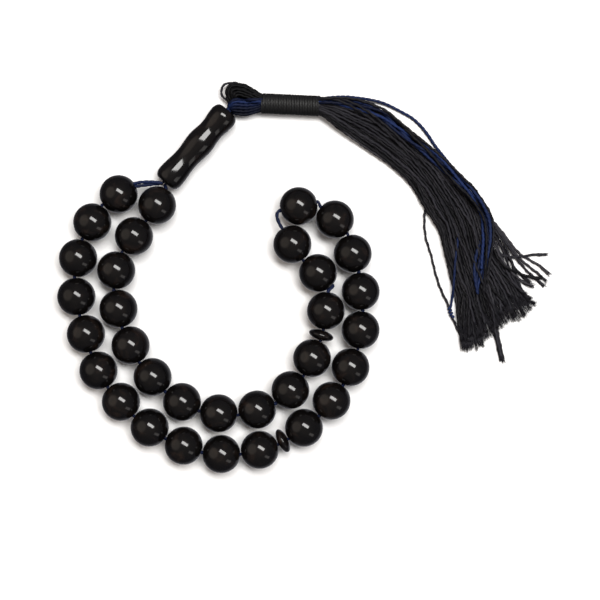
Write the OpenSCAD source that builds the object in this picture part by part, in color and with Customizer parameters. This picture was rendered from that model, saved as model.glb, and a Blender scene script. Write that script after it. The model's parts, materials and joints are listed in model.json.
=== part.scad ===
// Misbaha: a string of round prayer beads in three equal groups, with two divider discs,
// a long leader bead and a yarn tassel. It lies flat, with the string folded into a
// double row. The origin is on the surface it lies on, under the middle of its outline;
// X runs along its longest side and Z points up. All lengths are millimetres.

/* [Counting beads] */
// Diameter of a counting bead; the whole layout grows with it
bead_d = 10; // [8:0.5:14]
// Diameter of the hole through a counting bead
bead_bore_d = 2; // [2:0.1:2.4]
// Width of the chamfer round each mouth of that hole
mouth_lip = 0.3; // [0.1:0.05:0.4]
// Free space between neighbours on the string
bead_gap = 0.12; // [0.1:0.01:0.16]

/* [Divider discs] */
// Diameter of a divider disc
disc_d = 6.6; // [5:0.2:8]
// Thickness of a divider disc
disc_t = 2.8; // [2:0.1:3]

/* [Leader bead] */
// Length of the leader bead
leader_l = 25.2; // [20:0.2:28]
// Diameter of the leader bead at its three lobes
leader_d = 7.3; // [6.8:0.1:8]
// Diameter of the leader bead at its two waists
waist_d = 6.4; // [5.6:0.1:6.7]
// Diameter of the hole through the leader bead
leader_bore_d = 2.6; // [2.4:0.1:3]

/* [String and yarn] */
// Diameter of the twisted stringing cord
cord_d = 0.85; // [0.7:0.05:0.9]
// Diameter of one yarn of the tassel
yarn_d = 0.75; // [0.6:0.05:0.9]

/* [Tassel] */
// Length of the thread binding on the tassel's neck
binding_l = 15; // [10:0.5:18]
// Outer diameter of the binding
binding_d = 5.3; // [5:0.1:6]
// Thickness of the wound thread
binding_t = 0.6; // [0.4:0.1:0.8]

/* [Hidden] */
bead_count = 33;
group = 11;
piece_count = bead_count + 2;
scale_k = bead_d / 10;

bead_names = [for (n = [1:bead_count]) str("bead_", n < 10 ? "0" : "", n)];
disc_names = ["divider_disc_1", "divider_disc_2"];

round_fn = 96;
bore_fn = 32;
// Turning room where two pieces hang together on the cord
link_gap = 0.5;
// Gap between the end of one stretch of cord and the next, inside a mouth
cord_break = 0.6;

// Route of the string through the beads, for 10 mm beads, from the first bead to the
// last: out round the large row, over at the fold and back along the small row.
string_route = [
    [-48.5, 21.5], [-55.5, 14], [-59.2, 4.5], [-59.6, -5.5], [-57, -15.5],
    [-53.7, -25], [-47.8, -33.1], [-40, -40], [-31.5, -44.5], [-21.5, -46.7],
    [-11, -45.5], [-5, -43], [0.5, -39.5], [7.5, -32.5], [12.5, -23.5],
    [15, -14], [15, -4], [12.8, 6.2], [8.2, 14.9], [-1.2, 18.4],
    [-2.9, 8.3], [4, 0.5], [5.9, -9.5], [4.5, -16], [2, -22],
    [-3.5, -30], [-12, -35], [-22.5, -36], [-32, -33], [-39.8, -26.3],
    [-45.5, -18], [-48.5, -9], [-49.3, 1], [-44.5, 10.5], [-38.5, 18.5],
    [-36, 24.5]
] * scale_k;
// Samples between two points of a route
route_steps = 12;

// Extra turn of the hole's direction, in degrees, of beads at the fold:
// there the cord runs round the outside and its arcs show
fold_turns = [[19, -17], [20, 17], [21, 23], [22, -9]];

// Where the leader bead hangs on the string, and the way it points
leader_pivot = [-36.8, 24.2] * scale_k;
leader_turn = 48.8;
leader_z = leader_d / 2;
// Flat rim round each mouth of the leader bead, and the length of its rounded ends
rim_r = 2.2;
end_l = 2.2;
// Swell along the leader bead: its share of the length, and the turn of the wave there
swell = [[0.11, 0], [0.56, 360], [0.91, 720]];

leader_way = [cos(leader_turn), sin(leader_turn)];
tassel_pivot = leader_pivot + leader_way * (leader_l + 2 * link_gap);

// The tassel's own points are measured from its pivot.
binding_turn = -2.7;
binding_start = [8.8, 1.7];
binding_way = [cos(binding_turn), sin(binding_turn)];
skirt_pivot = tassel_pivot + binding_start + binding_way * (binding_l + link_gap / 2);
core_d = binding_d - 2 * binding_t;

// Bundles: each row is [x, y, height of the middle, half width, half height].
head_rows = [
    [8.5, 2.9, 2.9, 1.5, 2.1], [6.2, 4.1, 2.8, 1.7, 2.3], [3.4, 5.2, 2.7, 2.1, 2.4],
    [1.2, 5.2, 2.5, 2, 2.3], [0.7, 3.7, 2.2, 1.3, 2.1], [1, 2.8, 2, 1.1, 1.9]
];
ends_rows = [
    [1.2, 1.2, 2.4, 0.8, 1.1], [3, 0.7, 2.4, 1.8, 1.8], [6, 0.7, 2.5, 1.9, 2.2],
    [8.5, 0.6, 2.6, 1.5, 2.2]
];
eye_rows = [
    [0.6, 6.9, 2.6], [-0.8, 7, 2.4], [-1.9, 6.1, 2.2], [-2.1, 4.7, 2.1],
    [-1.5, 3.4, 2], [-0.3, 2.7, 2]
];
skirt_rows = [
    [1, -0.4, 2.65, 2.4, 2.5], [5.3, -1.9, 2.6, 4.2, 2.5], [9.8, -3.9, 2.5, 5, 2.4],
    [14.4, -6.2, 2.4, 5.7, 2.3], [21.4, -11.1, 2.2, 5.5, 2.1], [27.8, -16.7, 2.1, 5.7, 2],
    [32.6, -23.2, 2.1, 6.4, 2], [37.1, -30.2, 2, 6.6, 1.9], [40.2, -37.6, 1.9, 7.2, 1.8],
    [42.5, -44.4, 1.7, 9.2, 1.6], [44.2, -50.5, 1.5, 11, 1.4], [47.2, -56, 1.3, 12.4, 1.1]
];
arch_rows = [
    [2.5, 1.6, 3.4], [9, 2.2, 2.2], [14, 1.7, 1.2], [17.5, 0.7, 0.8], [21.3, -1.2, 0.6],
    [24.3, -2.9, 0.5], [26.6, -5, 0.5], [28.6, -7.5, 0.6], [30.1, -9.8, 0.8],
    [32, -12.2, 1.2]
];
strand_rows = [
    [28.6, -25, 1.2], [27.7, -27, 0.6], [27.6, -30.6, 0.4], [28, -34.8, 0.4],
    [29.3, -39, 0.4], [30.6, -44.3, 0.4], [32, -48.5, 0.4], [33.9, -52.5, 0.6],
    [34.6, -54.9, 0.8], [35.6, -57, 0.6], [36.8, -60, 0.4]
];
tail_rows = [
    [36.5, -38, 1.2], [35.6, -40.5, 0.7], [35.5, -45.5, 0.5], [35.1, -50, 0.5],
    [34.7, -53.4, 0.7]
];
knot_at = [34.6, -54.9, 1];
long_rows = [
    [45.6, -54.5, 0.8, 0.7, 0.45], [46.4, -59, 0.5, 0.7, 0.45],
    [47.4, -63.5, 0.5, 0.75, 0.45], [48.2, -67.3, 0.5, 0.7, 0.45]
];
side_rows = [[50, -39.5, 2.6], [54, -39.3, 2.2], [57, -39.1, 1.9], [59.6, -39.2, 1.7]];
outer_rows = [[52.5, -38.5, 1], [56.3, -40.6, 0.7], [58.8, -42.5, 0.5], [60.1, -44, 0.45]];

// ---- curves ----

function unit(v) = v / norm(v);

// Point at t, from 0 to 1, between b and c on a smooth curve through a, b, c and d
function between(a, b, c, d, t) =
    0.5 * (2 * b + (c - a) * t + (2 * a - 5 * b + 4 * c - d) * t * t
    + (3 * b - a - 3 * c + d) * t * t * t);

// Smooth curve through the rows p, with n samples between two rows
function smooth(p, n) = concat(
    [for (i = [0:len(p) - 2]) for (j = [0:n - 1])
        between(p[max(i - 1, 0)], p[i], p[i + 1], p[min(i + 2, len(p) - 1)], j / n)],
    [p[len(p) - 1]]);

// Index of the first point of the line, from i on, that is d or more from c
function reach(line, i, c, d) = norm(line[i] - c) >= d ? i : reach(line, i + 1, c, d);

// Point just before line[i] that is exactly d from c
function stop_at(line, i, c, d) =
    let (u = line[i] - line[i - 1], w = line[i - 1] - c, a = u * u, b = w * u)
    line[i - 1] + u * ((sqrt(b * b - a * (w * w - d * d)) - b) / a);

// Points along the line, each one its own step further than the last
function walk(line, steps, c, i = 1, n = 0) = n == len(steps) ? [c] :
    let (j = reach(line, i, c, steps[n]))
    concat([c], walk(line, steps, stop_at(line, j, c, steps[n]), j, n + 1));

// ---- places of the threaded pieces ----

function is_disc(i) = (i + 1) % (group + 1) == 0;
function half_t(i) = (is_disc(i) ? disc_t : bead_d) / 2;
function bead_index(n) = n - 1 + floor((n - 1) / group);

piece_steps = [for (i = [0:piece_count - 2]) half_t(i) + half_t(i + 1) + bead_gap];
piece_at = walk(smooth(string_route, route_steps), piece_steps, string_route[0]);

function turn_of(i) =
    let (found = [for (t = fold_turns) if (bead_index(t[0]) == i) t[1]])
    len(found) > 0 ? found[0] : 0;

// Direction of the hole of piece i, in degrees: across its neighbours on the string
function heading(i) =
    let (a = i == 0 ? leader_pivot : piece_at[i - 1],
         b = i == piece_count - 1 ? leader_pivot : piece_at[i + 1],
         v = b - a)
    atan2(v.y, v.x) + turn_of(i);

function way(i) = [cos(heading(i)), sin(heading(i))];

// Distance from a piece's middle to the mouth of its hole
function mouth(i) = is_disc(i) ? disc_t / 2 : sqrt(pow(bead_d, 2) - pow(bead_bore_d, 2)) / 2;

// ---- route of the string itself ----

// Gap between two mouths above which the cord shows as an arc
arc_from = 1.5;
arc_points = 4;
// Half the spread of two strands that lie side by side
pair_offset = cord_d / 2 + 0.02;
leader_side = [-leader_way.y, leader_way.x];
// Middle of the doubled cord between the first bead and the leader bead
link_mid = [-40.6, 24.4] * scale_k;

function bezier(a, b, c, d, t) =
    a * pow(1 - t, 3) + 3 * b * t * pow(1 - t, 2) + 3 * c * t * t * (1 - t) + d * pow(t, 3);

// Points of the cord between piece i and the next one
function link(i) =
    let (a = piece_at[i] + way(i) * mouth(i),
         b = piece_at[i + 1] - way(i + 1) * mouth(i + 1),
         pull = 0.4 * norm(b - a))
    norm(b - a) < arc_from ? [(a + b) / 2] :
    [for (j = [0:arc_points - 1])
        bezier(a, a + way(i) * pull, b - way(i + 1) * pull, b, j / (arc_points - 1))];

function lifted(points, z) = [for (p = points) [p.x, p.y, z]];

bead_z = bead_d / 2;
first_side = [-way(0).y, way(0).x];
last_i = piece_count - 1;
first_mouth = piece_at[0] - way(0) * mouth(0);
last_mouth = piece_at[last_i] + way(last_i) * mouth(last_i);

// The string leaves the leader's lower mouth, runs through every piece and comes back.
string_path = concat(
    [[for (v = leader_pivot + leader_side * pair_offset) v, leader_z]],
    [[link_mid.x, link_mid.y - pair_offset, bead_z - 0.6]],
    lifted([first_mouth + first_side * pair_offset], bead_z),
    [for (i = [0:piece_count - 2]) for (q = lifted(concat([piece_at[i]], link(i)), bead_z)) q],
    lifted([piece_at[last_i], last_mouth], bead_z),
    [[for (v = leader_pivot - leader_side * pair_offset) v, leader_z]]);

// The cord's tucked end runs beside it, from the leader's mouth into the first bead.
tucked_path = [
    [for (v = leader_pivot + leader_side * pair_offset) v, leader_z + 2 * pair_offset],
    [link_mid.x, link_mid.y + pair_offset, bead_z - 0.6],
    [for (v = first_mouth - first_side * pair_offset - way(0) * 0.6) v, bead_z],
    [for (v = first_mouth - first_side * pair_offset + way(0) * 1.4) v, bead_z]
];

// ---- swept solids ----

function tangent(p, i) = unit(p[min(i + 1, len(p) - 1)] - p[max(i - 1, 0)]);

// One ring of a sweep: half width w level, half height h upward
function ring(c, t, w, h, sides) =
    let (s = unit(cross(t, [0, 0, 1])), u = cross(s, t))
    [for (k = [0:sides - 1]) c + s * w * cos(360 * k / sides) + u * h * sin(360 * k / sides)];

// Closed solid swept along the path p, with half widths w and half heights h
module sweep(p, w, h, sides = 8) {
    last = len(p) - 1;
    points = [for (i = [0:last]) each ring(p[i], tangent(p, i), w[i], h[i], sides)];
    walls = [for (i = [0:last - 1]) for (k = [0:sides - 1])
        let (a = i * sides + k, b = i * sides + (k + 1) % sides)
        each [[a, a + sides, b], [b, a + sides, b + sides]]];
    start_cap = [for (k = [0:sides - 1]) k];
    end_cap = [for (k = [sides - 1:-1:0]) last * sides + k];
    polyhedron(points, concat([start_cap, end_cap], walls));
}

// Round cord of diameter d along the path p
module cord(p, d) {
    r = [for (q = p) d / 2];
    sweep(p, r, r);
}

// Rows measured from a pivot, smoothed and set in place
module strand(rows, from, d, n = 2) {
    cord([for (q = smooth(rows, n)) [from.x + q[0], from.y + q[1], q[2]]], d);
}

module bundle(rows, from, sides = 12, n = 3) {
    q = smooth(rows, n);
    sweep([for (a = q) [from.x + a[0], from.y + a[1], a[2]]],
        [for (a = q) a[3]], [for (a = q) a[4]], sides);
}

// ---- threaded pieces ----

// Lays a piece that is modelled along Z on the string, at place i
module threaded(i) {
    translate([piece_at[i].x, piece_at[i].y, bead_z]) rotate([0, 90, heading(i)]) children();
}

module bead(n) {
    i = bead_index(n);
    color("#1c1917") threaded(i) difference() {
        sphere(d = bead_d, $fn = round_fn);
        cylinder(d = bead_bore_d, h = bead_d + 1, center = true, $fn = bore_fn);
        for (side = [0, 1]) mirror([0, 0, side]) translate([0, 0, mouth(i) - mouth_lip])
            cylinder(d1 = bead_bore_d, d2 = bead_bore_d + 4 * mouth_lip,
                h = 2 * mouth_lip, $fn = bore_fn);
    }
}

module divider_disc(n) {
    color("#1c1917") threaded(n * (group + 1) - 1) difference() {
        rotate_extrude($fn = round_fn)
            polygon([for (a = [-90:7.5:90]) [disc_d / 2 * cos(a), disc_t / 2 * sin(a)]]);
        cylinder(d = bead_bore_d, h = disc_t + 1, center = true, $fn = bore_fn);
    }
}

// ---- leader bead ----

// Radius of the leader bead at s from its end: three lobes and rounded ends
function leader_r(s) =
    let (lobes = (leader_d + waist_d
            + (leader_d - waist_d) * cos(lookup(s / leader_l, swell))) / 4,
         e = max(0, 1 - min(s, leader_l - s) / end_l))
    rim_r + (lobes - rim_r) * sqrt(1 - e * e);

module along_leader(from) {
    at = leader_pivot + leader_way * from;
    translate([at.x, at.y, leader_z]) rotate([0, 90, leader_turn]) children();
}

module leader_bead() {
    profile = [for (a = [0:5:180])
        let (s = leader_l * (1 - cos(a)) / 2) [leader_r(s), s]];
    color("#1c1917") along_leader(link_gap) difference() {
        rotate_extrude($fn = round_fn) polygon(concat([[0, 0]], profile, [[0, leader_l]]));
        translate([0, 0, -1]) cylinder(d = leader_bore_d, h = leader_l + 2, $fn = bore_fn);
    }
}

// Two runs of the string side by side through the leader bead
module leader_cord() {
    color("#203462") along_leader(cord_break)
        for (side = [-1, 1]) translate([0, side * pair_offset, 0])
            cylinder(d = cord_d, h = leader_l + 2 * (link_gap - cord_break), $fn = bore_fn);
}

// ---- tassel ----

module along_neck(from) {
    at = tassel_pivot + binding_start + binding_way * from;
    translate([at.x, at.y, binding_d / 2]) rotate([0, 90, binding_turn]) children();
}

module neck_core() {
    color("#19191b") along_neck(0) cylinder(d = core_d, h = binding_l, $fn = round_fn);
}

module binding() {
    color("#232325") along_neck(0) difference() {
        cylinder(d = binding_d, h = binding_l, $fn = round_fn);
        translate([0, 0, -1]) cylinder(d = core_d, h = binding_l + 2, $fn = round_fn);
    }
}

module head_loop() color("#19191b") bundle(head_rows, tassel_pivot);
module cord_ends() color("#203462") bundle(ends_rows, tassel_pivot);
module eye_strand() color("#19191b") strand(eye_rows, tassel_pivot, yarn_d);

module skirt() color("#19191b") bundle(skirt_rows, skirt_pivot, 16, 2);
module loose_cord() color("#203462") strand(arch_rows, skirt_pivot, cord_d);
module loose_strand() color("#19191b") strand(strand_rows, skirt_pivot, yarn_d);
module knot_tail() color("#203462") strand(tail_rows, skirt_pivot, cord_d);
module long_strand() color("#19191b") bundle(long_rows, skirt_pivot, 8, 1);
module side_strand() color("#19191b") strand(side_rows, skirt_pivot, yarn_d, 1);
module outer_strand() color("#19191b") strand(outer_rows, skirt_pivot, yarn_d, 1);

// Small knot that ties the cord's tail round the loose strand
module cord_knot() {
    color("#203462")
        translate([skirt_pivot.x + knot_at.x, skirt_pivot.y + knot_at.y, knot_at.z])
        sphere(d = 2 * knot_at.z, $fn = bore_fn);
}

module string_cord() color("#203462") cord(string_path, cord_d);
module tucked_end() color("#203462") cord(smooth(tucked_path, 3), cord_d);

// ---- nodes ----

for (n = [1:bead_count]) bead(n);
for (n = [1:2]) divider_disc(n);
string_cord();
tucked_end();
leader_bead();
leader_cord();
head_loop();
cord_ends();
eye_strand();
neck_core();
binding();
skirt();
loose_cord();
loose_strand();
cord_knot();
knot_tail();
long_strand();
side_strand();
outer_strand();
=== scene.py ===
import bpy
import json
import math
import numpy as np
from mathutils import Matrix, Vector


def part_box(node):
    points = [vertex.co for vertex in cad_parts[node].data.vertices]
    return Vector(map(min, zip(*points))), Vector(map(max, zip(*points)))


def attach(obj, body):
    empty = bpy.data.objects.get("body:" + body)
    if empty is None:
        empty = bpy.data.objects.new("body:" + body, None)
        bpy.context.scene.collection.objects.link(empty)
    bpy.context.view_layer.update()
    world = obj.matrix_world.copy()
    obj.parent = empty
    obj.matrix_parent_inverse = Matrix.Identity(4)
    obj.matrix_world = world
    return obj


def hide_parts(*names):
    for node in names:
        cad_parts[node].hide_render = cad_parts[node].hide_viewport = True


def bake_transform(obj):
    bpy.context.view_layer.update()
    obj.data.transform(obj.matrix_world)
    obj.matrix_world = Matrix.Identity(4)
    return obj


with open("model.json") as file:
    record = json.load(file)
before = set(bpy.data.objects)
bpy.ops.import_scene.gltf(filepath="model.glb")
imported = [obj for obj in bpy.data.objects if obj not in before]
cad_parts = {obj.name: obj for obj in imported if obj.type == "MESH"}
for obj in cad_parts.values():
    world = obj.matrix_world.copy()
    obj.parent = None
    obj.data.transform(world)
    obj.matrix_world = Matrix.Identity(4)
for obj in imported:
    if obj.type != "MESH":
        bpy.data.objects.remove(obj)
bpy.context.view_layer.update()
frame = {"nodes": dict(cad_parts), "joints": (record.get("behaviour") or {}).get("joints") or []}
dice = np.random.default_rng(33)
print("frame loaded,", len(frame["nodes"]), "CAD nodes")

mm = 0.001
joints = {j["name"]: j for j in frame["joints"]}
leaderPivot = Vector(joints["leader_swing"]["pos_m"])
tasselPivot = Vector(joints["tassel_swing"]["pos_m"])
skirtPivot = Vector(joints["skirt_sway"]["pos_m"])
leaderWay = Vector(joints["leader_spin"]["axis"]).normalized()
leaderSide = Vector((-leaderWay.y, leaderWay.x, 0))
neckTurn = math.radians(-2.7)
neckWay = Vector((math.cos(neckTurn), math.sin(neckTurn), 0))
neckLow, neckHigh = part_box("binding")
cordWidth = 0.85 * mm
cordSpun = 0.98 * mm       # over the crests of its two plies
yarnWidth = 0.75 * mm
ground = 0.05 * mm         # what lies on the ground clears it by this much
laidStep = 0.3 * mm        # point spacing of the lines that later strands rest on


# small helpers
def pick(piece):
    if bpy.context.mode != "OBJECT":
        bpy.ops.object.mode_set(mode="OBJECT")
    bpy.ops.object.select_all(action="DESELECT")
    piece.select_set(True)
    bpy.context.view_layer.objects.active = piece


def addObject(name, data):
    one = bpy.data.objects.new(name, data)
    bpy.context.scene.collection.objects.link(one)
    return one


def faceOutward(piece):
    pick(piece)
    bpy.ops.object.mode_set(mode="EDIT")
    bpy.ops.mesh.select_all(action="SELECT")
    bpy.ops.mesh.normals_make_consistent(inside=False)
    bpy.ops.object.mode_set(mode="OBJECT")
    bpy.ops.object.shade_smooth()
    return piece


def closedPiece(name, verts, faces, uvs, tones):
    # uvs run round and along each strand, tone shades it
    mesh = bpy.data.meshes.new(name)
    mesh.from_pydata(verts, [], faces)
    layer = mesh.uv_layers.new(name="around")
    layer.data.foreach_set("uv", np.array(uvs, np.float32).ravel())
    shade = mesh.attributes.new("tone", "FLOAT", "POINT")
    shade.data.foreach_set("value", np.array(tones, np.float32))
    mesh.update()
    return faceOutward(addObject(name, mesh))


def finishPiece(piece, body, slotName, material, nodes=(), blendTo=None):
    piece.data.materials.clear()
    piece.data.materials.append(material)
    if blendTo:
        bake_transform(piece)
    else:
        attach(piece, body)
    if nodes:
        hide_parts(*nodes)
    return piece


def softCurve(rows, samples=12):
    # the smooth curve through the rows, the same one as the CAD's routes follow
    p = [np.array(r, float) for r in rows]
    out = []
    for i in range(len(p) - 1):
        a, b, c, d = p[max(i - 1, 0)], p[i], p[i + 1], p[min(i + 2, len(p) - 1)]
        for k in range(samples):
            t = k / samples
            out.append(0.5 * (2 * b + (c - a) * t + (2 * a - 5 * b + 4 * c - d) * t * t
                              + (3 * b - a - 3 * c + d) * t ** 3))
    out.append(p[-1])
    return np.array(out)


def runAlong(line):
    # the length from the start to each point
    return np.concatenate([[0], np.cumsum(np.linalg.norm(np.diff(line, axis=0), axis=1))])


def wayAlong(line):
    way = np.gradient(line, axis=0)
    return way / np.linalg.norm(way, axis=1)[:, None]


def atRuns(line, run, at):
    return np.stack([np.interp(at, run, line[:, k]) for k in range(line.shape[1])], 1)


def evenSteps(line, step):
    # the same line with points every step along it
    line = np.asarray(line, float)
    run = runAlong(line)
    count = max(int(round(run[-1] / step)), 2)
    return atRuns(line, run, np.linspace(0, run[-1], count + 1))


def lineLength(line):
    return float(runAlong(np.asarray(line))[-1])


def smoothed(values, rounds):
    values = np.array(values, float)
    for _ in range(rounds):
        values[1:-1] = (values[:-2] + 2 * values[1:-1] + values[2:]) / 4
    return values


def declareCord(line):
    line = np.asarray(line, float).tolist()


# plies, how deep the groove between them is, the length of one full turn in cord widths,
# and how far the thicker ply pushes the strand aside as it goes round
twists = {
    "cord": {"plies": 2, "groove": 0.25, "lay": 3.3, "sides": 12, "step": 0.30, "lean": 0},
    "yarn": {"plies": 2, "groove": 0.26, "lay": 4.2, "sides": 8, "step": 0.45, "lean": 0.08},
    "thread": {"plies": 2, "groove": 0.20, "lay": 3.4, "sides": 8, "step": 0.30, "lean": 0},
}


def carriedFrame(tangent):
    # two directions across the line, carried along it without a flip
    side = np.zeros_like(tangent)
    first = np.cross(tangent[0], [0, 0, 1.0])
    if np.linalg.norm(first) < 0.1:
        first = np.cross(tangent[0], [1.0, 0, 0])
    side[0] = first / np.linalg.norm(first)
    for i in range(1, len(tangent)):
        s = side[i - 1] - tangent[i] * np.dot(side[i - 1], tangent[i])
        side[i] = s / np.linalg.norm(s)
    return side, np.cross(side, tangent)


def spinMesh(name, strands, kind):
    # strands: dictionaries with the line, its width and how the ends close
    twist = twists[kind]
    sides = twist["sides"]
    angles = 2 * math.pi * np.arange(sides) / sides
    lobes = np.abs(np.cos(angles * twist["plies"] / 2))
    verts, faces, uvs, tones = [], [], [], []
    for strand in strands:
        width, phase = strand["width"], strand.get("phase", 0)
        line = evenSteps(strand["line"], twist["step"] * width)
        count = len(line)
        tangent = wayAlong(line)
        side, up = carriedFrame(tangent)
        run = runAlong(line)
        turn = 2 * math.pi * run / (twist["lay"] * width) + phase
        radius = width / 2 * (1 - twist["groove"] * (1 - lobes))
        size = 1 + strand.get("uneven", 0.05) * np.sin(run / (width * 5.3) + phase * 3)
        size[0] *= strand.get("startTaper", 0.75)
        size[-1] *= strand.get("endTaper", 0.75)
        lean = width * twist["lean"]
        base = len(verts)
        for i in range(count):
            a = angles + turn[i]
            middle = line[i] + (side[i] * math.cos(turn[i]) + up[i] * math.sin(turn[i])) * lean
            ring = (middle + np.outer(np.cos(a) * radius * size[i], side[i])
                    + np.outer(np.sin(a) * radius * size[i], up[i]))
            ring[:, 2] = np.maximum(ring[:, 2], 0.01 * mm)   # nothing goes into the ground
            verts.extend(ring.tolist())
        for i in range(count - 1):
            low, high = base + i * sides, base + (i + 1) * sides
            v0, v1 = run[i] / width, run[i + 1] / width
            for k in range(sides):
                n = (k + 1) % sides
                u0, u1 = k / sides, (k + 1) / sides
                faces.append((low + k, low + n, high + n, high + k))
                uvs.extend(((u0, v0), (u1, v0), (u1, v1), (u0, v1)))
        verts.append((line[0] - tangent[0] * width * 0.12).tolist())
        verts.append((line[-1] + tangent[-1] * width * 0.12).tolist())
        first, last, end = len(verts) - 2, len(verts) - 1, base + (count - 1) * sides
        for k in range(sides):
            n = (k + 1) % sides
            faces += [(first, base + n, base + k), (last, end + k, end + n)]
            uvs.extend(((0.5, 0), (0.4, 0), (0.6, 0)) * 2)
        tones.extend([strand.get("tone", 0.5)] * (count * sides + 2))
    return closedPiece(name, verts, faces, uvs, tones)


def restOn(line, width, below, slack=0.0):
    # raises a line so that it lies on the strands under it and on the ground
    line = np.array(line, float)
    reach = (width + yarnWidth) / 2
    for i, p in enumerate(line):
        line[i, 2] = width / 2 + ground
        near = below[np.abs(below[:, 0] - p[0]) < reach]
        flat = np.hypot(near[:, 0] - p[0], near[:, 1] - p[1])
        touch = near[flat < reach]
        if len(touch):
            tops = touch[:, 2] + np.sqrt(reach ** 2 - flat[flat < reach] ** 2)
            line[i, 2] = max(line[i, 2], float(tops.max()) - slack)
    line[:, 2] = smoothed(line[:, 2], 6)
    return line


def startAt(line, step, reach, height):
    # the line's start comes to this height
    share = np.clip(1 - np.arange(len(line)) * step / reach, 0, 1)
    line[:, 2] = line[:, 2] * (1 - share) + height * share
    return line


# materials
def newMaterial(name):
    material = bpy.data.materials.new(name)
    material.use_nodes = True
    nodes = material.node_tree.nodes
    return material, nodes, material.node_tree.links, nodes["Principled BSDF"]


def ramp(nodes, stops):
    node = nodes.new("ShaderNodeValToRGB")
    node.color_ramp.elements[0].position = stops[0][0]
    node.color_ramp.elements[0].color = (*stops[0][1], 1)
    node.color_ramp.elements[1].position = stops[-1][0]
    node.color_ramp.elements[1].color = (*stops[-1][1], 1)
    for at, colour in stops[1:-1]:
        node.color_ramp.elements.new(at).color = (*colour, 1)
    return node


def noise(nodes, links, source, scale, detail=4, rough=0.55, warp=0.0):
    node = nodes.new("ShaderNodeTexNoise")
    node.inputs["Scale"].default_value = scale
    node.inputs["Detail"].default_value = detail
    node.inputs["Roughness"].default_value = rough
    node.inputs["Distortion"].default_value = warp
    links.new(source, node.inputs["Vector"])
    return node


def spanned(nodes, links, source, low, high, toLow=0.0, toHigh=1.0):
    node = nodes.new("ShaderNodeMapRange")
    for key, value in (("From Min", low), ("From Max", high), ("To Min", toLow), ("To Max", toHigh)):
        node.inputs[key].default_value = value
    links.new(source, node.inputs["Value"])
    return node


def scaledSum(nodes, links, value, factor, offset):
    node = nodes.new("ShaderNodeMath")
    node.operation = "MULTIPLY_ADD"
    links.new(value, node.inputs[0])
    node.inputs[1].default_value = factor
    links.new(offset, node.inputs[2])
    return node.outputs["Value"]


def relief(nodes, links, source, shader, strength, depth):
    bump = nodes.new("ShaderNodeBump")
    bump.inputs["Strength"].default_value = strength
    bump.inputs["Distance"].default_value = depth
    links.new(source, bump.inputs["Height"])
    links.new(bump.outputs["Normal"], shader.inputs["Normal"])


def mixedColour(nodes, links, share, first, second):
    # first and second are colours or the outputs of other nodes
    node = nodes.new("ShaderNodeMixRGB")
    links.new(share, node.inputs["Fac"])
    for key, value in (("Color1", first), ("Color2", second)):
        if isinstance(value, tuple):
            node.inputs[key].default_value = (*value, 1)
        else:
            links.new(value, node.inputs[key])
    return node.outputs["Color"]


stoneLook = {
    "deep": (0.0016, 0.0015, 0.0017),
    "body": (0.0034, 0.0028, 0.0027),
    "cloud": (0.017, 0.0105, 0.0078),
    "cloudSize": 210,
    "wearSize": 900,
    "pitSize": 2600,
    "roughLow": 0.075,
    "roughHigh": 0.15,
    "ior": 1.37,
}


def stoneMaterial():
    material, nodes, links, shader = newMaterial("polishedBlackStone")
    place = nodes.new("ShaderNodeTexCoord").outputs["Object"]
    clouds = noise(nodes, links, place, stoneLook["cloudSize"], 6, 0.6, 1.2)
    tint = ramp(nodes, [(0.30, stoneLook["deep"]), (0.55, stoneLook["body"]), (0.82, stoneLook["cloud"])])
    links.new(clouds.outputs["Fac"], tint.inputs["Fac"])
    links.new(tint.outputs["Color"], shader.inputs["Base Color"])
    wear = noise(nodes, links, place, stoneLook["wearSize"], 5, 0.65)
    polish = spanned(nodes, links, wear.outputs["Fac"], 0.35, 0.75, stoneLook["roughLow"], stoneLook["roughHigh"])
    links.new(polish.outputs["Result"], shader.inputs["Roughness"])
    pits = noise(nodes, links, place, stoneLook["pitSize"], 3, 0.5)
    relief(nodes, links, pits.outputs["Fac"], shader, 0.035, 0.02 * mm)
    shader.inputs["IOR"].default_value = stoneLook["ior"]
    return material


threadLooks = {  # dark is painted shade in the grooves between the fibres, light is on the palest of them; patchy is how uneven the dye is
    "navySpunCord": {
        "dark": (0.0008, 0.0013, 0.0042), "body": (0.0024, 0.0045, 0.0175), "light": (0.0085, 0.019, 0.074),
        "sheen": 0.03, "rough": 0.6, "shine": 0.13, "relief": 0.04 * mm, "patchy": 0.6},
    "blackSpunYarn": {
        "dark": (0.0010, 0.0010, 0.0015), "body": (0.0165, 0.0160, 0.0205), "light": (0.060, 0.057, 0.063),
        "sheen": 0.03, "rough": 0.6, "shine": 0.13, "relief": 0.04 * mm, "patchy": 0.35},
    "woundBlackThread": {
        "dark": (0.0030, 0.0030, 0.0036), "body": (0.0070, 0.0070, 0.0074), "light": (0.015, 0.015, 0.015),
        "sheen": 0.03, "rough": 0.47, "shine": 0.34, "relief": 0.02 * mm, "patchy": 0.35},
}


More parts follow.
